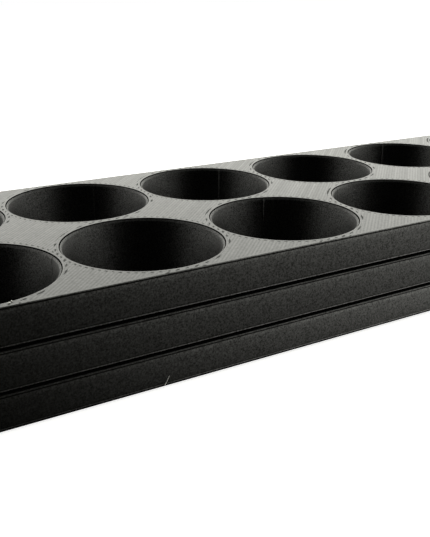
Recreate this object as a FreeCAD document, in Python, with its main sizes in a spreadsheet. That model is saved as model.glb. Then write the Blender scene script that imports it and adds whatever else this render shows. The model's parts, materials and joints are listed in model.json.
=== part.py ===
"""Paint rack organizer: three printed tiers on dowel pins, which hold jars in two rows of wells.

Millimetres. The origin is the middle of the rack's underside: X runs along the rows, Y from the
front row to the back row, and Z up.
"""
import FreeCAD, Part
import os
import Sketcher

doc = FreeCAD.newDocument("PaintRack")

# ---- driving dimensions ----

sizes = {
    "columns": 6,           # wells along the rack
    "rows": 2,              # wells across it
    "well_dia": 33.8,       # bore of a well, a clearance fit on a 32 mm jar
    "mouth_chamfer": 0.6,   # lead-in round the top of every well
    "web": 1.5,             # flat top between the mouths of two neighbouring wells
    "rim_wall": 1.6,        # flat top between a mouth and the outside of the rack
    "base_height": 7.5,     # up to the floor of the wells
    "middle_height": 8.4,
    "top_height": 8.3,
    "corner_radius": 1.5,   # upright corners of a tier
    "foot_chamfer": 0.9,    # chamfer round the lower edge of every tier
    "pin_dia": 4.0,
    "pin_length": 6.0,      # half of it in the tier below, half in the tier above
    "pin_chamfer": 0.4,
    "pin_inset": 3.8,       # from the outside of the rack to the middle of a pin
    "press": 0.04,          # a pressed socket is this much narrower than its pin
    "slack": 0.2,           # a sliding socket is this much wider than its pin
    "socket_depth": 3.2,
}

sheet = doc.addObject("Spreadsheet::Sheet", "Sizes")
for row, (alias, value) in enumerate(sizes.items(), start=1):
    sheet.set(f"A{row}", alias)
    sheet.set(f"B{row}", str(value))
    sheet.setAlias(f"B{row}", alias)
doc.recompute()

# what follows from them, as expressions on the sheet's cells
mouth_dia = "(Sizes.well_dia + 2 * Sizes.mouth_chamfer)"
pitch = f"({mouth_dia} + Sizes.web)"
long_span = f"((Sizes.columns - 1) * {pitch})"
cross_span = f"((Sizes.rows - 1) * {pitch})"
length = f"({long_span} + {mouth_dia} + 2 * Sizes.rim_wall)"
width = f"({cross_span} + {mouth_dia} + 2 * Sizes.rim_wall)"
pin_x = f"({length} / 2 - Sizes.pin_inset)"
pin_y = f"({width} / 2 - Sizes.pin_inset)"
pressed_dia = "Sizes.pin_dia - Sizes.press"
sliding_dia = "Sizes.pin_dia + Sizes.slack"
lower_joint = "Sizes.base_height"
upper_joint = "(Sizes.base_height + Sizes.middle_height)"


# ---- sketches and features that the sub-parts share ----

def flat_sketch(body, name, height=None):
    """A sketch on the body's own XY plane, lifted to a height that an expression gives."""
    ground = next(f for f in body.Origin.OriginFeatures if f.Role == "XY_Plane")
    sketch = body.newObject("Sketcher::SketchObject", name)
    sketch.AttachmentSupport = (ground, [""])
    sketch.MapMode = "FlatFace"
    if height:
        sketch.setExpression("AttachmentOffset.Base.z", height)
    return sketch


def bind(sketch, name, constraint, expression):
    """Adds a constraint that follows an expression."""
    index = sketch.addConstraint(constraint)
    sketch.renameConstraint(index, name)
    sketch.setExpression(f"Constraints.{name}", expression)


def centred_rectangle(sketch, length_expression, width_expression):
    half_x, half_y = 100.0, 40.0
    corners = [FreeCAD.Vector(x, y, 0) for x, y in (
        (-half_x, -half_y), (half_x, -half_y), (half_x, half_y), (-half_x, half_y))]
    for i in range(4):
        sketch.addGeometry(Part.LineSegment(corners[i], corners[(i + 1) % 4]))
    for i in range(4):
        sketch.addConstraint(Sketcher.Constraint("Coincident", i, 2, (i + 1) % 4, 1))
    for i, direction in enumerate(("Horizontal", "Vertical", "Horizontal", "Vertical")):
        sketch.addConstraint(Sketcher.Constraint(direction, i))
    sketch.addConstraint(Sketcher.Constraint("Symmetric", 0, 1, 1, 2, -1, 1))
    bind(sketch, "length", Sketcher.Constraint("DistanceX", 0, 1, 0, 2, 2 * half_x), length_expression)
    bind(sketch, "width", Sketcher.Constraint("DistanceY", 1, 1, 1, 2, 2 * half_y), width_expression)


def circle_at(sketch, x_expression, y_expression, diameter_expression):
    """One circle in the sketch's positive quarter."""
    x, y, radius = 20.0, 15.0, 2.0
    sketch.addGeometry(Part.Circle(FreeCAD.Vector(x, y, 0), FreeCAD.Vector(0, 0, 1), radius))
    bind(sketch, "x", Sketcher.Constraint("DistanceX", -1, 1, 0, 3, x), x_expression)
    bind(sketch, "y", Sketcher.Constraint("DistanceY", -1, 1, 0, 3, y), y_expression)
    bind(sketch, "dia", Sketcher.Constraint("Diameter", 0, 2 * radius), diameter_expression)


def grid_of(body, pocket, name, along, across, along_count, across_count):
    """Repeats a pocket from the positive quarter towards -X and -Y."""
    sketch = pocket.Profile[0]
    grid = body.newObject("PartDesign::LinearPattern", name)
    grid.Originals = [pocket]
    grid.Direction = (sketch, ["H_Axis"])
    grid.Direction2 = (sketch, ["V_Axis"])
    grid.Reversed = True
    grid.Reversed2 = True
    grid.setExpression("Length", along)
    grid.setExpression("Length2", across)
    grid.setExpression("Occurrences", along_count)
    grid.setExpression("Occurrences2", across_count)
    body.Tip = grid
    doc.recompute()


def edges_where(shape, test):
    """Names of the shape's edges whose box passes the test."""
    return [f"Edge{i}" for i, edge in enumerate(shape.Edges, start=1) if test(edge.BoundBox)]


def dress_up(body, kind, name, base, edges, size_property, expression):
    """A fillet or chamfer on named edges of the base feature."""
    feature = body.newObject(f"PartDesign::{kind}", name)
    feature.Base = (base, edges)
    feature.setExpression(size_property, expression)
    body.Tip = feature
    doc.recompute()
    return feature


def tier_slab(label, underside, height):
    """A plain tier: a slab with round upright corners and a chamfer round its lower edge."""
    body = doc.addObject("PartDesign::Body", label)
    body.Label = label
    body.setExpression("Placement.Base.z", underside)
    outline = flat_sketch(body, f"{label}_outline")
    centred_rectangle(outline, length, width)
    slab = body.newObject("PartDesign::Pad", f"{label}_slab")
    slab.Profile = outline
    slab.setExpression("Length", height)
    doc.recompute()
    upright = edges_where(slab.Shape, lambda box: box.ZLength > 1)
    corners = dress_up(body, "Fillet", f"{label}_corners", slab, upright, "Radius", "Sizes.corner_radius")
    lowest = edges_where(corners.Shape, lambda box: box.ZMax < 0.001)
    dress_up(body, "Chamfer", f"{label}_foot", corners, lowest, "Size", "Sizes.foot_chamfer")
    return body


def cut_wells(body):
    sketch = flat_sketch(body, f"{body.Name}_well")
    circle_at(sketch, f"{long_span} / 2", f"{cross_span} / 2", "Sizes.well_dia")
    well = body.newObject("PartDesign::Pocket", f"{body.Name}_first_well")
    well.Profile = sketch
    well.Type = "ThroughAll"
    well.Reversed = True
    doc.recompute()
    grid_of(body, well, f"{body.Name}_wells", long_span, cross_span, "Sizes.columns", "Sizes.rows")


def cut_sockets(body, name, diameter, height=None):
    """Four blind holes for the pins: from the top of a tier of that height, or from below."""
    sketch = flat_sketch(body, f"{body.Name}_{name}", height)
    circle_at(sketch, pin_x, pin_y, diameter)
    socket = body.newObject("PartDesign::Pocket", f"{body.Name}_first_{name}")
    socket.Profile = sketch
    socket.Reversed = height is None
    socket.setExpression("Length", "Sizes.socket_depth")
    doc.recompute()
    grid_of(body, socket, f"{body.Name}_{name}s", f"2 * {pin_x}", f"2 * {pin_y}", "2", "2")


# ---- top frame ----

top_frame = tier_slab("top_frame", upper_joint, "Sizes.top_height")
cut_wells(top_frame)
wells = top_frame.Tip
rims = edges_where(wells.Shape, lambda box: box.ZMin > 1 and 20 < box.XLength < 50)
dress_up(top_frame, "Chamfer", "well_mouths", wells, rims, "Size", "Sizes.mouth_chamfer")
cut_sockets(top_frame, "sliding_socket", sliding_dia)

# ---- middle frame ----

middle_frame = tier_slab("middle_frame", lower_joint, "Sizes.middle_height")
cut_wells(middle_frame)
cut_sockets(middle_frame, "sliding_socket", sliding_dia)
cut_sockets(middle_frame, "pressed_socket", pressed_dia, "Sizes.middle_height")

# ---- base tray: it closes the wells, so a jar stands on its upper face ----

base_tray = tier_slab("base_tray", "0", "Sizes.base_height")
cut_sockets(base_tray, "pressed_socket", pressed_dia, "Sizes.base_height")


# ---- dowel pins: pressed into one tier, sliding in the one above ----

def dowel_pin(label, x_sign, y_sign, joint_height):
    """A pin half above and half below a joint between two tiers."""
    body = doc.addObject("PartDesign::Body", label)
    body.Label = label
    body.setExpression("Placement.Base.x", f"{x_sign} * {pin_x}")
    body.setExpression("Placement.Base.y", f"{y_sign} * {pin_y}")
    body.setExpression("Placement.Base.z", f"{joint_height} - Sizes.pin_length / 2")
    sketch = flat_sketch(body, f"{label}_circle")
    circle_at(sketch, "0", "0", "Sizes.pin_dia")
    rod = body.newObject("PartDesign::Pad", f"{label}_rod")
    rod.Profile = sketch
    rod.setExpression("Length", "Sizes.pin_length")
    doc.recompute()
    rims = edges_where(rod.Shape, lambda box: box.ZLength < 0.001)
    dress_up(body, "Chamfer", f"{label}_ends", rod, rims, "Size", "Sizes.pin_chamfer")
    return body


pins = []
for joint, joint_height in (("lower", lower_joint), ("upper", upper_joint)):
    for y_sign, end in ((-1, "front"), (1, "back")):
        for x_sign, side in ((-1, "left"), (1, "right")):
            pins.append(dowel_pin(f"{joint}_pin_{end}_{side}", x_sign, y_sign, joint_height))

# ---- check every object, then write one STEP file for each sub-part ----

doc.recompute()
for item in doc.Objects:
    if {"Invalid", "Error"} & set(item.State):
        raise RuntimeError(f"{item.Name} is {item.State}")

os.makedirs("parts", exist_ok=True)
for part in [base_tray, middle_frame, top_frame] + pins:
    shape = part.Shape
    if shape.isNull() or not shape.isValid() or len(shape.Solids) != 1:
        raise RuntimeError(f"{part.Label} is not one valid solid")
    shape.exportStep(f"parts/{part.Label}.step")
    box = shape.BoundBox
    print(f"{part.Label}: {box.XLength:.2f} x {box.YLength:.2f} x {box.ZLength:.2f} mm, "
          f"from z {box.ZMin:.2f}, {shape.Volume:.1f} mm3")
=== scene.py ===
# Paint rack organizer, printed in black filament: three tiers on dowel pins, two rows of wells.
# Metres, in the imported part's frame: X along the rows, Y from the front row to the back row, Z up.
import json
import math
import bmesh
import bpy
from mathutils import Euler, Matrix, Vector


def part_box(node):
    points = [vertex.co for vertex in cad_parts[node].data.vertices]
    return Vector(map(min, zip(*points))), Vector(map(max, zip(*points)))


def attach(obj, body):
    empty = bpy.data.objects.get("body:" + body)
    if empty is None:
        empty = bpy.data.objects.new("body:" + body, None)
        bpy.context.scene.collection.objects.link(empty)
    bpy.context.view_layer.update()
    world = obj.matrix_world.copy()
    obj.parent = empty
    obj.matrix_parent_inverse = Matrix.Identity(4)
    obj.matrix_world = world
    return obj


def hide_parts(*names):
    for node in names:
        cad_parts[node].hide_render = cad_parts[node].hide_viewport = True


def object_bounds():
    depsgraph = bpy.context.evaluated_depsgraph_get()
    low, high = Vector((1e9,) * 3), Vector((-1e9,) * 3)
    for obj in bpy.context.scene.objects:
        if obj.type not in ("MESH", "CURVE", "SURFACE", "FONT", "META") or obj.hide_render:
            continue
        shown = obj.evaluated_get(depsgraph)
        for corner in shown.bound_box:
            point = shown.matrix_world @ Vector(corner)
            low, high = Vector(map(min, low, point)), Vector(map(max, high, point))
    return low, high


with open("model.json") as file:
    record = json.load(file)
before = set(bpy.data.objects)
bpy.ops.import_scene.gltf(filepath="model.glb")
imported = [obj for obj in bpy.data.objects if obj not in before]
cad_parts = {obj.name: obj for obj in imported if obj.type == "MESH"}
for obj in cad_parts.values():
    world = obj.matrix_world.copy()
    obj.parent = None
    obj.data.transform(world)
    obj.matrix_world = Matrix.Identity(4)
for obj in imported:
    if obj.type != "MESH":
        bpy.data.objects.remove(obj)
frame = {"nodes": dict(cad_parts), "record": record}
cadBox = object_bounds()
mm = 0.001
touching = 0.01 * mm    # places closer than this are the same place
weld = 0.001 * mm       # the same, where vertices are merged

# the wells, from the record's bores
bores = [m for m in frame["record"]["mounts"] if m["kind"] == "bore"]
wellRadius = bores[0]["dims"]["r_mm"] * mm
wellCentre = {m["name"]: Vector((m["pos_m"][0], m["pos_m"][1], 0)) for m in bores}
pitch = wellCentre["front_well_2"].x - wellCentre["front_well_1"].x
print("frame loaded:", len(wellCentre), "wells,", round(pitch / mm, 2), "mm apart")


def colour(hexValue):
    # sRGB hex to linear
    parts = [int(hexValue[i:i + 2], 16) / 255 for i in (1, 3, 5)]
    return tuple(c / 12.92 if c <= 0.04045 else ((c + 0.055) / 1.055) ** 2.4 for c in parts) + (1.0,)


def addNode(tree, kind, inputs, **settings):
    # inputs go by name or number, each a value, a socket or a node, which gives its first output
    node = tree.nodes.new("ShaderNode" + kind)
    for name, value in settings.items():
        setattr(node, name, value)
    for name, value in inputs.items():
        value = value.outputs[0] if isinstance(value, bpy.types.Node) else value
        if isinstance(value, bpy.types.NodeSocket):
            tree.links.new(value, node.inputs[name])
        else:
            node.inputs[name].default_value = value
    return node


def newObject(name, bm):
    # a finished mesh as an object at the origin
    mesh = bpy.data.meshes.new(name)
    bm.to_mesh(mesh)
    bm.free()
    piece = bpy.data.objects.new(name, mesh)
    bpy.context.scene.collection.objects.link(piece)
    return piece


filament = {
    "wallBlack": "#080807",
    "wallSheenGrey": "#20201e",   # painted highlight: the grey a wall's base colour turns to where it shines most
    "footShadeBlack": "#060606",
    "strayHighlightPale": "#e2e2dc",
    "skinBlack": "#151514",
    "bedBlack": "#111110",
    "ior": 1.46,             # PLA
    "layer": 0.2 * mm,       # height of one printed layer
    "line": 0.42 * mm,       # width of one laid line
    "infill": 0.72 * mm,     # width of a diagonal line, drawn coarser so that it shows
    "rings": 2,              # lines round each well and along the outline
    "pitPlace": 1.8,         # the pits' middle, in lines out from a mouth
    "pitWidth": 0.42 * mm,
    "pitRarity": 1.85,       # a higher value leaves fewer of them
    "wallRoughness": 0.42,
    "wallFan": 0.90,         # how much further a wall throws light up and down than sideways
    "wallShine": 0.80,
    # painted light: lit and shaded copies of one finish, the base tray's outside made to shine most
    "outsideSheenByTier": {"top_frame": 1.0, "middle_frame": 0.93, "base_tray": 1.2},
    "mouthGloss": 0.38,
    "mouthShadeBand": 0.22 * mm,  # height of the band under the skin, round a mouth, left without shine: painted shade under the skin's edge
    "grain": 0.3 * mm,       # specks in a wall; the real ones are finer, and would not show
    "speckle": 3.2,          # how strong they are
    "skinRoughness": 0.34,
    "skinShine": 0.505,
    "bedRoughness": 0.28,
}
# how much a tier's outside shines, by millimetres up from its foot and down from its top: painted light
# and shade, set in the shine and the base colour alike, brighter towards each tier's top
footShine = [
    (0.0, 0.02), (0.88, 0.02),
    (0.90, 1.0), (1.10, 1.0),       # a painted highlight along the top of the foot chamfer
    (1.12, 0.12), (1.30, 0.12), (1.40, 0.25),
]
topShine = [
    (4.0, 0.33), (1.5, 0.46), (0.70, 0.80),
    (0.48, 0.80), (0.44, 0.02), (0.22, 0.02),     # painted shade of a dip just under the top edge, which the mesh does not have
    (0.19, 0.70), (0.0, 0.70),
]


def newMaterial(name, base, roughness):
    material = bpy.data.materials.new(name)
    material.use_nodes = True
    tree = material.node_tree
    tree.nodes.clear()
    shader = addNode(tree, "BsdfPrincipled", {
        "Base Color": colour(base), "Roughness": roughness, "IOR": filament["ior"]})
    addNode(tree, "OutputMaterial", {"Surface": shader})
    return material, tree, shader


def printedWall(name, upright=True, node=None, gloss=1.0, darkFrom=None):
    # PLA laid in 0.2 mm layers: satin black with fine level lines and a speckled grain
    # the round side of each layer spreads a reflection up and down, but hardly sideways
    material, tree, shader = newMaterial(name, filament["wallBlack"], filament["wallRoughness"])
    if upright:
        shader.inputs["Anisotropic"].default_value = filament["wallFan"]
        up = addNode(tree, "Tangent", {}, direction_type="UV_MAP", uv_map="layerUV")
        tree.links.new(up.outputs["Tangent"], shader.inputs["Tangent"])
    point = addNode(tree, "TexCoord", {}).outputs["Object"]
    height = addNode(tree, "SeparateXYZ", {0: point}).outputs["Z"]
    layers = addNode(tree, "Math", {0: height, 1: 1 / filament["layer"]}, operation="MULTIPLY")
    bead = addNode(tree, "Math", {0: layers, 1: 0.5}, operation="PINGPONG")
    bead = addNode(tree, "Math", {0: bead, 1: 2.0}, operation="MULTIPLY")
    bead = addNode(tree, "Math", {0: bead, 1: 0.5}, operation="POWER")
    layer = addNode(tree, "Math", {0: layers}, operation="FLOOR")
    tone = addNode(tree, "TexWhiteNoise", {"W": layer}, noise_dimensions="1D")
    stretch = addNode(tree, "Mapping", {"Vector": point, "Scale": (1.0, 1.0, 4.0)})
    waver = addNode(tree, "TexNoise", {"Vector": stretch, "Scale": 0.7 / mm, "Detail": 3.0})
    grain = addNode(tree, "TexNoise", {"Vector": point, "Scale": 1 / filament["grain"], "Detail": 1.0})
    relief = addNode(tree, "Math", {0: tone, 1: 0.35, 2: bead}, operation="MULTIPLY_ADD")
    relief = addNode(tree, "Math", {0: waver, 1: 0.8, 2: relief}, operation="MULTIPLY_ADD")
    relief = addNode(tree, "Math", {0: grain, 1: 0.9, 2: relief}, operation="MULTIPLY_ADD")
    bump = addNode(tree, "Bump", {"Strength": 0.5, "Distance": 0.03 * mm, "Height": relief})
    tree.links.new(bump.outputs["Normal"], shader.inputs["Normal"])
    rough = addNode(tree, "Math", {0: waver, 1: 0.2, 2: filament["wallRoughness"] - 0.1},
                    operation="MULTIPLY_ADD")
    rough = addNode(tree, "Math", {0: tone, 1: 0.06, 2: rough}, operation="MULTIPLY_ADD")
    tree.links.new(rough.outputs[0], shader.inputs["Roughness"])

    # shine: speckled, and on the outside it changes with the height on the tier, a painted highlight and
    # shade
    speck = addNode(tree, "Math", {0: grain, 1: filament["speckle"], 2: 1 - filament["speckle"] / 2},
                    operation="MULTIPLY_ADD")
    streak = addNode(tree, "Math", {0: waver, 1: 0.6 * gloss, 2: 0.7 * gloss}, operation="MULTIPLY_ADD")
    shine = addNode(tree, "Math", {0: speck, 1: streak}, operation="MULTIPLY")
    if node:
        low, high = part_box(node)
        tall = high.z - low.z
        share = addNode(tree, "MapRange", {"Value": height, "From Min": low.z, "From Max": high.z})
        ramp = addNode(tree, "ValToRGB", {"Fac": share})
        stops = [(fromFoot * mm / tall, level) for fromFoot, level in footShine]
        stops += [(1 - fromTop * mm / tall, level) for fromTop, level in topShine]
        for i, (place, level) in enumerate(stops):
            stop = ramp.color_ramp.elements[0] if i == 0 else ramp.color_ramp.elements.new(place)
            stop.position = place
            stop.color = (level, level, level, 1.0)
        ramp.color_ramp.elements.remove(ramp.color_ramp.elements[-1])
        shine = addNode(tree, "Math", {0: ramp, 1: shine}, operation="MULTIPLY")
        # painted highlight: the base colour turns grey where the height ramp says the tier shines most
        sheenTone = addNode(tree, "Mix", {
            0: ramp, 6: colour(filament["wallBlack"]), 7: colour(filament["wallSheenGrey"])}, data_type="RGBA")
        tree.links.new(sheenTone.outputs[2], shader.inputs["Base Color"])
    # painted shade: above darkFrom the wall gets no shine
    if darkFrom:
        lit = addNode(tree, "Math", {0: height, 1: darkFrom}, operation="LESS_THAN")
        shine = addNode(tree, "Math", {0: shine, 1: lit}, operation="MULTIPLY")
    shine = addNode(tree, "Math", {0: shine, 1: filament["wallShine"]}, operation="MULTIPLY")
    tree.links.new(shine.outputs[0], shader.inputs["Specular IOR Level"])
    return material


def printedSkin(name, mouthRadius):
    # PLA top skin: satin grey at a low angle, with diagonal lines inside lines that follow every edge
    material, tree, shader = newMaterial(name, filament["skinBlack"], filament["skinRoughness"])
    line = filament["line"]
    point = addNode(tree, "TexCoord", {}).outputs["Object"]
    parts = addNode(tree, "SeparateXYZ", {0: point})

    # distance in from the outline
    half = (cadBox[1] - cadBox[0]) / 2
    inX = addNode(tree, "Math", {0: parts.outputs["X"]}, operation="ABSOLUTE")
    inX = addNode(tree, "Math", {0: half.x, 1: inX}, operation="SUBTRACT")
    inY = addNode(tree, "Math", {0: parts.outputs["Y"]}, operation="ABSOLUTE")
    inY = addNode(tree, "Math", {0: half.y, 1: inY}, operation="SUBTRACT")
    inside = addNode(tree, "Math", {0: inX, 1: inY}, operation="MINIMUM")
    if mouthRadius:
        # distance out from the nearest mouth: the grid repeats once a pitch
        shift = addNode(tree, "VectorMath", {0: point, 1: (pitch / 2, pitch / 2, 0)}, operation="ADD")
        cell = addNode(tree, "VectorMath", {
            0: shift, 1: (pitch / 2, pitch / 2, 1), 2: (-pitch / 2, -pitch / 2, -1)}, operation="WRAP")
        flat = addNode(tree, "VectorMath", {0: cell, 1: (1, 1, 0)}, operation="MULTIPLY")
        radius = addNode(tree, "VectorMath", {0: flat}, operation="LENGTH").outputs["Value"]
        outside = addNode(tree, "Math", {0: radius, 1: mouthRadius}, operation="SUBTRACT")
        inside = addNode(tree, "Math", {0: inside, 1: outside}, operation="MINIMUM")
        # pits where the diagonal lines turn back, round the wells only
        pitRing = addNode(tree, "Math", {0: outside, 1: 1 / line}, operation="MULTIPLY")
        pitRing = addNode(tree, "Math", {
            0: pitRing, 1: filament["pitPlace"], 2: filament["pitWidth"] / line / 2}, operation="COMPARE")
    ringLines = addNode(tree, "Math", {0: inside, 1: 1 / line}, operation="MULTIPLY")
    across = addNode(tree, "Math", {0: parts.outputs["X"], 1: parts.outputs["Y"]}, operation="SUBTRACT")
    diagonal = addNode(tree, "Math", {0: across, 1: math.sqrt(0.5) / filament["infill"]},
                       operation="MULTIPLY")
    isInfill = addNode(tree, "Math", {0: ringLines, 1: float(filament["rings"])}, operation="GREATER_THAN")

    # one rounded bead for each line
    both = addNode(tree, "Mix", {0: isInfill, 2: ringLines, 3: diagonal})
    bead = addNode(tree, "Math", {0: both, 1: 0.5}, operation="PINGPONG")
    rise = addNode(tree, "Math", {0: bead, 1: 2.0}, operation="MULTIPLY")
    bead = addNode(tree, "Math", {0: rise, 1: 0.6}, operation="POWER")
    index = addNode(tree, "Math", {0: both}, operation="FLOOR")
    lineTone = addNode(tree, "TexWhiteNoise", {"W": index}, noise_dimensions="1D")
    turned = addNode(tree, "Mapping", {
        "Vector": point, "Rotation": (0, 0, math.radians(-45)), "Scale": (0.2, 2.4, 1.0)})
    streaks = addNode(tree, "TexNoise", {"Vector": turned, "Scale": 0.7 / mm, "Detail": 3.0})
    grain = addNode(tree, "TexNoise", {"Vector": point, "Scale": 1.8 / mm, "Detail": 2.0})

    relief = addNode(tree, "Math", {0: lineTone, 1: 0.6, 2: bead}, operation="MULTIPLY_ADD")
    relief = addNode(tree, "Math", {0: streaks, 1: 0.5, 2: relief}, operation="MULTIPLY_ADD")
    relief = addNode(tree, "Math", {0: grain, 1: 0.5, 2: relief}, operation="MULTIPLY_ADD")
    rough = addNode(tree, "Math", {0: lineTone, 1: 0.10, 2: filament["skinRoughness"] - 0.09},
                    operation="MULTIPLY_ADD")
    rough = addNode(tree, "Math", {0: streaks, 1: 0.06, 2: rough}, operation="MULTIPLY_ADD")
    if mouthRadius:
        turns = addNode(tree, "Math", {0: diagonal, 1: math.pi}, operation="MULTIPLY")
        turns = addNode(tree, "Math", {0: turns}, operation="SINE")
        turns = addNode(tree, "Math", {0: streaks, 1: 3.0, 2: turns}, operation="MULTIPLY_ADD")
        turns = addNode(tree, "Math", {0: turns, 1: filament["pitRarity"]}, operation="GREATER_THAN")
        pit = addNode(tree, "Math", {0: pitRing, 1: turns}, operation="MULTIPLY")
        relief = addNode(tree, "Math", {0: pit, 1: -3.0, 2: relief}, operation="MULTIPLY_ADD")
        rough = addNode(tree, "Math", {0: pit, 1: 0.5, 2: rough}, operation="MULTIPLY_ADD")
    bump = addNode(tree, "Bump", {"Strength": 0.35, "Distance": 0.03 * mm, "Height": relief})
    tree.links.new(bump.outputs["Normal"], shader.inputs["Normal"])
    tree.links.new(rough.outputs[0], shader.inputs["Roughness"])
    # painted shade: the hollow between two lines shines less; some of the lines shine less too, at random
    shine = addNode(tree, "Math", {0: rise, 1: 0.70, 2: 0.36}, operation="MULTIPLY_ADD")
    shine = addNode(tree, "Math", {0: lineTone, 1: 0.36, 2: shine}, operation="MULTIPLY_ADD")
    speck = addNode(tree, "Math", {0: grain, 1: 1.5, 2: 0.25}, operation="MULTIPLY_ADD")
    shine = addNode(tree, "Math", {0: shine, 1: speck}, operation="MULTIPLY")
    shine = addNode(tree, "Math", {0: shine, 1: filament["skinShine"]}, operation="MULTIPLY")
    tree.links.new(shine.outputs[0], shader.inputs["Specular IOR Level"])
    return material


def footStepsInShade():
    # PLA layers stepping in under a tier, rough, near-black and without shine: painted shade, so that they
    # read as a black line
    material, tree, shader = newMaterial("printed_pla_foot_steps_painted_shade", filament["footShadeBlack"], 0.9)
    shader.inputs["Specular IOR Level"].default_value = 0.0
    point = addNode(tree, "TexCoord", {}).outputs["Object"]
    height = addNode(tree, "SeparateXYZ", {0: point}).outputs["Z"]
    step = addNode(tree, "Math", {0: height, 1: 1 / filament["layer"]}, operation="MULTIPLY")
    step = addNode(tree, "Math", {0: step}, operation="FRACT")
    grain = addNode(tree, "TexNoise", {"Vector": point, "Scale": 1 / filament["grain"], "Detail": 1.0})
    relief = addNode(tree, "Math", {0: grain, 1: 0.5, 2: step}, operation="MULTIPLY_ADD")
    bump = addNode(tree, "Bump", {"Strength": 0.5, "Distance": 0.05 * mm, "Height": relief})
    tree.links.new(bump.outputs["Normal"], shader.inputs["Normal"])
    rough = addNode(tree, "Math", {0: grain, 1: 0.2, 2: 0.75}, operation="MULTIPLY_ADD")
    tree.links.new(rough.outputs[0], shader.inputs["Roughness"])
    return material


def strayHighlightFinish():
    # PLA pulled out to a thread, and glossy; its pale colour is a painted highlight
    material, tree, shader = newMaterial("printed_pla_stray_painted_highlight", filament["strayHighlightPale"], 0.3)
    point = addNode(tree, "TexCoord", {}).outputs["Object"]
    grain = addNode(tree, "TexNoise", {"Vector": point, "Scale": 1 / filament["grain"], "Detail": 1.0})
    rough = addNode(tree, "Math", {0: grain, 1: 0.3, 2: 0.2}, operation="MULTIPLY_ADD")
    tree.links.new(rough.outputs[0], shader.inputs["Roughness"])
    return material


def firstLayer():
    # PLA pressed on a smooth bed: flatter and glossier, with diagonal lines the other way
    material, tree, shader = newMaterial(
        "printed_pla_first_layer", filament["bedBlack"], filament["bedRoughness"])
    point = addNode(tree, "TexCoord", {}).outputs["Object"]
    parts = addNode(tree, "SeparateXYZ", {0: point})
    across = addNode(tree, "Math", {0: parts.outputs["X"], 1: parts.outputs["Y"]}, operation="ADD")
    lines = addNode(tree, "Math", {0: across, 1: math.sqrt(0.5) / filament["line"]}, operation="MULTIPLY")
    bead = addNode(tree, "Math", {0: lines, 1: 0.5}, operation="PINGPONG")
    bead = addNode(tree, "Math", {0: bead, 1: 2.0}, operation="MULTIPLY")
    bead = addNode(tree, "Math", {0: bead, 1: 0.25}, operation="POWER")
    index = addNode(tree, "Math", {0: lines}, operation="FLOOR")
    tone = addNode(tree, "TexWhiteNoise", {"W": index}, noise_dimensions="1D")
    bump = addNode(tree, "Bump", {"Strength": 0.25, "Distance": 0.02 * mm, "Height": bead})
    tree.links.new(bump.outputs["Normal"], shader.inputs["Normal"])
    rough = addNode(tree, "Math", {0: tone, 1: 0.12, 2: filament["bedRoughness"] - 0.06},
                    operation="MULTIPLY_ADD")
    tree.links.new(rough.outputs[0], shader.inputs["Roughness"])
    return material


tier = {
    "wellSegments": 96,           # a multiple of 8, so that a vertex falls on each corner of a cell
    "mouthChamfer": 0.6 * mm,     # lead-in round the top of every well
    "cornerRadius": 1.5 * mm,
    "cornerSegments": 6,
    "footChamfer": 0.9 * mm,      # round the lower outer edge
    "edgeRound": 0.2 * mm,        # a printed edge is never quite sharp
    "seamWidth": 0.45 * mm,       # the ridge where each layer's outline starts and ends
    "socketDepth": 3.2 * mm,
    "pressedGap": 0.02 * mm,      # between a pin and the socket that holds it
    "slidingGap": 0.1 * mm,       # between a pin and the socket that slides on it
    "smoothUpTo": 20,             # degrees between faces
}

wellWallPla = printedWall("printed_pla_well_wall")
# three layers, each a little wider, with painted shade on the step under the skin
mouthPla = printedWall("printed_pla_mouth_steps", gloss=filament["mouthGloss"],
                       darkFrom=cadBox[1].z - filament["mouthShadeBand"])
footPla = footStepsInShade()
strayPla = strayHighlightFinish()
outerWallPla = {node: printedWall("printed_pla_" + node + "_outside", node=node, gloss=gloss)
                for node, gloss in filament["outsideSheenByTier"].items()}
pinPla = printedWall("printed_pla_pin", upright=False)
mouthSkin = printedSkin("printed_pla_skin_round_mouths", wellRadius + tier["mouthChamfer"])
boreSkin = printedSkin("printed_pla_skin_round_bores", wellRadius)
plainSkin = printedSkin("printed_pla_skin", 0)
bedPla = firstLayer()
print("materials made")


# each well's seam: its angle in degrees from +X, and how high its ridge is
seams = {
    "front_well_1": (5, 0.08 * mm), "front_well_2": (61, 0.02 * mm), "front_well_3": (72, 0.12 * mm),
    "front_well_4": (118, 0.08 * mm), "front_well_5": (66, 0.08 * mm), "front_well_6": (140, 0.08 * mm),
    "back_well_1": (38, 0.08 * mm), "back_well_2": (54, 0.06 * mm), "back_well_3": (45, 0.10 * mm),
    "back_well_4": (205, 0.08 * mm), "back_well_5": (70, 0.08 * mm), "back_well_6": (128, 0.08 * mm),
}


def ringOut(bm, centre):
    # one well's circle, joined to the square cell round it
    made = bmesh.ops.create_circle(bm, segments=tier["wellSegments"], radius=wellRadius,
                                   matrix=Matrix.Translation(centre))
    rim = list({edge for vert in made["verts"] for edge in vert.link_edges})
    grown = bmesh.ops.extrude_edge_only(bm, edges=rim)["geom"]
    for vert in (g for g in grown if isinstance(g, bmesh.types.BMVert)):
        arm = vert.co - centre
        vert.co = centre + arm * (pitch / 2) / max(abs(arm.x), abs(arm.y))


def wellSheet(bm, low, high):
    # every cell, merged, and widened to the rack's outline at the tier's underside
    for centre in wellCentre.values():
        ringOut(bm, centre + Vector((0, 0, low.z)))
    bmesh.ops.remove_doubles(bm, verts=bm.verts, dist=weld)
    span = [max(abs(v.co[i]) for v in bm.verts) for i in (0, 1)]
    for vert in bm.verts:
        for i in (0, 1):
            if abs(vert.co[i]) > span[i] - touching:
                vert.co[i] = math.copysign(high[i], vert.co[i])


def bevelEdges(bm, edges, offset, segments):
    bmesh.ops.bevel(bm, geom=edges, offset=offset, offset_type="OFFSET", segments=segments,
                    profile=0.5, affect="EDGES", material=-1)


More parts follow.
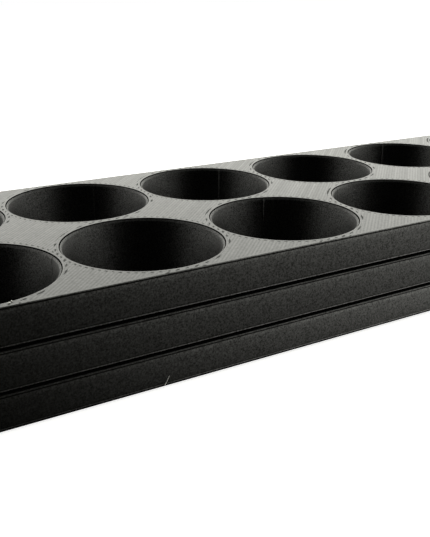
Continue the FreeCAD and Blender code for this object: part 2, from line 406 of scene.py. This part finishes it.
def raiseSeams(bm):
    # splits each well's wall at its seam, the middle line last, and pulls that line in to a ridge
    for name, (turn, height) in seams.items():
        centre = wellCentre[name]
        for offset in (-0.5, 0.5, 0.0):
            angle = math.radians(turn) + offset * tier["seamWidth"] / wellRadius
            direction = Vector((math.cos(angle), math.sin(angle), 0))
            across = Vector((-direction.y, direction.x, 0))
            # the faces of this well's wall that lie about the seam
            walls = [f for f in bm.faces if abs(f.normal.z) < 0.1
                     and (f.calc_center_median().xy - centre.xy).length < wellRadius * 1.01
                     and (f.calc_center_median() - centre).dot(direction) > wellRadius * 0.95]
            geom = list({g for f in walls for g in (f, *f.edges, *f.verts)})
            bmesh.ops.bisect_plane(bm, geom=geom, plane_co=centre, plane_no=across, dist=weld)
        for vert in bm.verts:
            arm = vert.co - centre
            if abs(arm.dot(across)) < 0.002 * mm and abs(arm.dot(direction) - wellRadius) < 0.1 * mm:
                vert.co -= direction * height


def inWell(point, margin=0.05 * mm):
    return any((point.xy - centre.xy).length < wellRadius + margin for centre in wellCentre.values())


def outlineAt(bm, z, high):
    # the edges at that height where a wall outside the rack meets its top or underside
    edges = []
    for edge in bm.edges:
        middle = (edge.verts[0].co + edge.verts[1].co) / 2
        isLevel = all(abs(v.co.z - z) < touching for v in edge.verts)
        isOutside = (abs(middle.x) > high.x - tier["cornerRadius"]
                     or abs(middle.y) > high.y - tier["cornerRadius"])
        if isLevel and isOutside and len(edge.link_faces) == 2 and not inWell(middle):
            flatness = sum(abs(face.normal.z) for face in edge.link_faces)
            if 0.8 < flatness < 1.2:    # one face upright and one level
                edges.append(edge)
    return edges


def tierShape(node, hasWells):
    # a tier without its sockets: slab, wells, round corners, foot chamfer and softened top edge
    low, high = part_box(node)
    bm = bmesh.new()
    if hasWells:
        wellSheet(bm, low, high)
        body = bmesh.ops.extrude_face_region(bm, geom=bm.faces[:])["geom"]
        lifted = [g for g in body if isinstance(g, bmesh.types.BMVert)]
        bmesh.ops.translate(bm, verts=lifted, vec=(0, 0, high.z - low.z))
    else:
        bmesh.ops.create_cube(bm, size=1.0)
        bmesh.ops.scale(bm, verts=bm.verts, vec=high - low)
        bmesh.ops.translate(bm, verts=bm.verts, vec=(high + low) / 2)
    bmesh.ops.recalc_face_normals(bm, faces=bm.faces)

    upright = [e for e in bm.edges if abs(e.verts[0].co.z - e.verts[1].co.z) > 1 * mm
               and all(abs(v.co.x) > high.x - touching and abs(v.co.y) > high.y - touching
                       for v in e.verts)]
    bevelEdges(bm, upright, tier["cornerRadius"], tier["cornerSegments"])
    if hasWells:
        raiseSeams(bm)
    bm.normal_update()
    bevelEdges(bm, outlineAt(bm, low.z, high), tier["footChamfer"], 1)
    bm.normal_update()
    bevelEdges(bm, outlineAt(bm, high.z, high), tier["edgeRound"], 2)
    return bm, low, high


def openMouths(bm, z):
    # the chamfer round every well at the rack's top
    rims = [e for e in bm.edges if all(abs(v.co.z - z) < touching and inWell(v.co) for v in e.verts)
            and any(abs(f.normal.z) < 0.5 for f in e.link_faces)]
    bevelEdges(bm, rims, tier["mouthChamfer"], 1)


def cutSockets(piece, pins, gap, mouthZ, upward):
    # bores a blind socket for each pin, from the tier's top or its underside
    bm = bmesh.new()
    for pin in pins:
        low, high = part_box(pin)
        middle = (low + high) / 2
        depth = tier["socketDepth"]
        standOut = 1 * mm    # of the cutter, out of the socket's mouth
        centreZ = mouthZ + (depth - standOut) / 2 * (1 if upward else -1)
        bmesh.ops.create_cone(
            bm, cap_ends=True, segments=40, radius1=(high.x - low.x) / 2 + gap,
            radius2=(high.x - low.x) / 2 + gap, depth=depth + standOut,
            matrix=Matrix.Translation((middle.x, middle.y, centreZ)))
    cutter = newObject("cutter", bm)
    bore = piece.modifiers.new("sockets", "BOOLEAN")
    bore.object = cutter
    bore.operation = "DIFFERENCE"
    bore.solver = "EXACT"
    shaped = piece.evaluated_get(bpy.context.evaluated_depsgraph_get())
    mesh = bpy.data.meshes.new_from_object(shaped)
    piece.modifiers.clear()
    piece.data = mesh
    bpy.data.objects.remove(cutter)


def finishTier(piece, node, skin):
    # smooth round the wells, crisp at the edges; every side of the tier gets its own finish
    mesh = piece.data
    mesh.materials.clear()
    for material in (outerWallPla[node], wellWallPla, skin, bedPla, mouthPla, footPla):
        mesh.materials.append(material)
    for face in mesh.polygons:
        face.use_smooth = True
        if abs(face.normal.z) > 0.98:
            face.material_index = 2 if face.normal.z > 0 else 3
        elif inWell(face.center, tier["mouthChamfer"]):
            face.material_index = 1 if abs(face.normal.z) < 0.5 else 4
        else:
            face.material_index = 5 if face.normal.z < -0.3 else 0
    mesh.set_sharp_from_angle(angle=math.radians(tier["smoothUpTo"]))
    uv = mesh.uv_layers.new(name="layerUV")    # U runs up every wall
    for face in mesh.polygons:
        normal = face.normal
        side = Vector((-normal.y, normal.x, 0)).normalized() if abs(normal.z) < 0.98 else Vector((0, 1, 0))
        up = normal.cross(side)
        for loop in face.loop_indices:
            point = mesh.vertices[mesh.loops[loop].vertex_index].co
            uv.data[loop].uv = (point.dot(up) / pitch, point.dot(side) / pitch)


def pinsAt(joint):
    return [name for name in frame["nodes"] if name.startswith(joint + "_pin_")]


def makeTier(name, node, body, hasWells, skin, pinsBelow, pinsAbove):
    bm, low, high = tierShape(node, hasWells)
    if not pinsAbove:
        openMouths(bm, high.z)
    piece = newObject(name, bm)
    if pinsBelow:
        cutSockets(piece, pinsBelow, tier["slidingGap"], low.z, True)
    if pinsAbove:
        cutSockets(piece, pinsAbove, tier["pressedGap"], high.z, False)
    finishTier(piece, node, skin)
    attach(piece, body)
    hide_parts(node)
    print(name, "made:", len(piece.data.polygons), "faces")


makeTier("printed_top_tier", "top_frame", "top", True, mouthSkin, pinsAt("upper"), [])
makeTier("printed_middle_tier", "middle_frame", "middle", True, boreSkin, pinsAt("lower"), pinsAt("upper"))
makeTier("printed_base_tier", "base_tray", "base", False, plainSkin, [], pinsAt("lower"))

# millimetres
stray = {
    "hairFoot": (-60.1, -37.37, 0.75),    # on the base tier's front
    "hairTip": (-59.0, -37.38, 2.55),
    "hairWidth": 0.24,
    "nubs": ((-88.9, -36.1, 24.2, 0.22), (-88.3, -35.6, 24.25, 0.16)),    # beside a mouth: place, radius
}


def strayHair():
    # a whisker of filament pulled out of the first layers
    foot, tip = Vector(stray["hairFoot"]) * mm, Vector(stray["hairTip"]) * mm
    turn = (tip - foot).to_track_quat("Z", "Y").to_matrix().to_4x4()
    bm = bmesh.new()
    bmesh.ops.create_cone(bm, cap_ends=True, segments=8, radius1=stray["hairWidth"] / 2 * mm,
                          radius2=stray["hairWidth"] / 5 * mm, depth=(tip - foot).length,
                          matrix=Matrix.Translation((foot + tip) / 2) @ turn)
    return newObject("printed_stray_hair", bm)


def rimNubs():
    # blobs left where the nozzle lifted off
    bm = bmesh.new()
    for x, y, z, radius in stray["nubs"]:
        bmesh.ops.create_icosphere(bm, subdivisions=2, radius=radius * mm,
                                   matrix=Matrix.Translation(Vector((x, y, z)) * mm))
    return newObject("printed_rim_nubs", bm)


for piece, body in ((strayHair(), "base"), (rimNubs(), "top")):
    piece.data.materials.append(strayPla)
    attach(piece, body)
print("stray hair and nubs made")

for pin in pinsAt("lower") + pinsAt("upper"):
    frame["nodes"][pin].data.materials.clear()
    frame["nodes"][pin].data.materials.append(pinPla)


view = {
    "place": (-121.99 * mm, -158.22 * mm, 76.48 * mm),
    "heading": 31.263,       # degrees from +Y towards +X
    "tilt": -20.628,
    "roll": 0.335,
    "lens": 51.922,
}
light = {
    "colour": (1.0, 1.0, 0.93, 1.0),
    "strength": 3.1,
    "beyond": 0.18,          # share lost straight behind the rack, and won towards the camera
    "rise": 1.6,             # how soon it is full, going round from the dark side
    "darkSide": 0.63,        # cosine of the half angle that is dark, about straight behind the camera
    "overhead": 0.75,        # share lost straight up
    "overheadFocus": 4.0,    # how close to straight up that stays
    "lowest": (-1.0, -0.85),    # it fades out between these heights, below the rack
    "paper": 0.8,            # glow of the paper under the rack
}


def makeCamera():
    camera = bpy.data.objects.new("camera", bpy.data.cameras.new("camera"))
    bpy.context.scene.collection.objects.link(camera)
    camera.data.lens = view["lens"]
    camera.data.sensor_width = 36.0
    camera.data.clip_start = 0.005
    turn = Euler((math.radians(90 + view["tilt"]), 0, -math.radians(view["heading"])), "XYZ").to_matrix()
    camera.matrix_world = (Matrix.Translation(view["place"])
                           @ (turn @ Matrix.Rotation(math.radians(view["roll"]), 3, "Z")).to_4x4())
    bpy.context.scene.camera = camera


def makeFloor():
    # white paper, lit well enough to lose the rack's shadow but for the line where they meet
    bm = bmesh.new()
    bmesh.ops.create_grid(bm, x_segments=1, y_segments=1, size=2.0)
    bmesh.ops.translate(bm, verts=bm.verts, vec=(0, 0, -0.05 * mm))
    floor = newObject("floor", bm)
    material, tree, shader = newMaterial("white_paper", "#f4f4f2", 0.9)
    shader.inputs["Emission Color"].default_value = (1, 1, 1, 1)
    shader.inputs["Emission Strength"].default_value = light["paper"]
    floor.data.materials.append(material)
    floor.visible_glossy = False
    floor.visible_diffuse = False


def makeLight():
    # a light tent: bright behind the rack, dark behind the camera, straight up and straight down
    world = bpy.data.worlds.new("tent")
    world.use_nodes = True
    bpy.context.scene.world = world
    tree = world.node_tree
    tree.nodes.clear()
    heading = math.radians(view["heading"])
    away = (math.sin(heading), math.cos(heading), 0)
    direction = addNode(tree, "TexCoord", {}).outputs["Generated"]
    level = addNode(tree, "VectorMath", {0: direction, 1: (1, 1, 0)}, operation="MULTIPLY")
    level = addNode(tree, "VectorMath", {0: level}, operation="NORMALIZE")
    facing = addNode(tree, "VectorMath", {0: level, 1: away}, operation="DOT_PRODUCT").outputs["Value"]
    past = addNode(tree, "Math", {0: facing, 1: light["darkSide"]}, operation="ADD")
    past = addNode(tree, "Math", {0: past, 1: 0.0}, operation="MAXIMUM")
    past = addNode(tree, "Math", {0: past, 1: -light["rise"]}, operation="MULTIPLY")
    dim = addNode(tree, "Math", {0: past}, operation="EXPONENT")
    bright = addNode(tree, "Math", {0: 1.0, 1: dim}, operation="SUBTRACT")
    upward = addNode(tree, "SeparateXYZ", {0: direction}).outputs["Z"]
    beyond = addNode(tree, "Math", {0: facing, 1: -light["beyond"], 2: 1.0}, operation="MULTIPLY_ADD")
    bright = addNode(tree, "Math", {0: bright, 1: beyond}, operation="MULTIPLY")
    above = addNode(tree, "Math", {0: upward, 1: 0.0}, operation="MAXIMUM")
    above = addNode(tree, "Math", {0: above, 1: light["overheadFocus"]}, operation="POWER")
    above = addNode(tree, "Math", {0: above, 1: -light["overhead"], 2: 1.0}, operation="MULTIPLY_ADD")
    bright = addNode(tree, "Math", {0: bright, 1: above}, operation="MULTIPLY")
    below = addNode(tree, "MapRange", {
        "Value": upward, "From Min": light["lowest"][0], "From Max": light["lowest"][1]})
    bright = addNode(tree, "Math", {0: bright, 1: below}, operation="MULTIPLY")
    bright = addNode(tree, "Math", {0: bright, 1: light["strength"]}, operation="MULTIPLY")
    tent = addNode(tree, "Background", {"Color": light["colour"], "Strength": bright})
    backdrop = addNode(tree, "Background", {"Color": (1, 1, 1, 1), "Strength": 1.0})
    path = addNode(tree, "LightPath", {})
    mix = addNode(tree, "MixShader", {0: path.outputs["Is Camera Ray"], 1: tent, 2: backdrop})
    addNode(tree, "OutputWorld", {"Surface": mix})
    bpy.context.scene.view_settings.view_transform = "Standard"


makeCamera()
makeFloor()
makeLight()
print("camera, floor and light set")
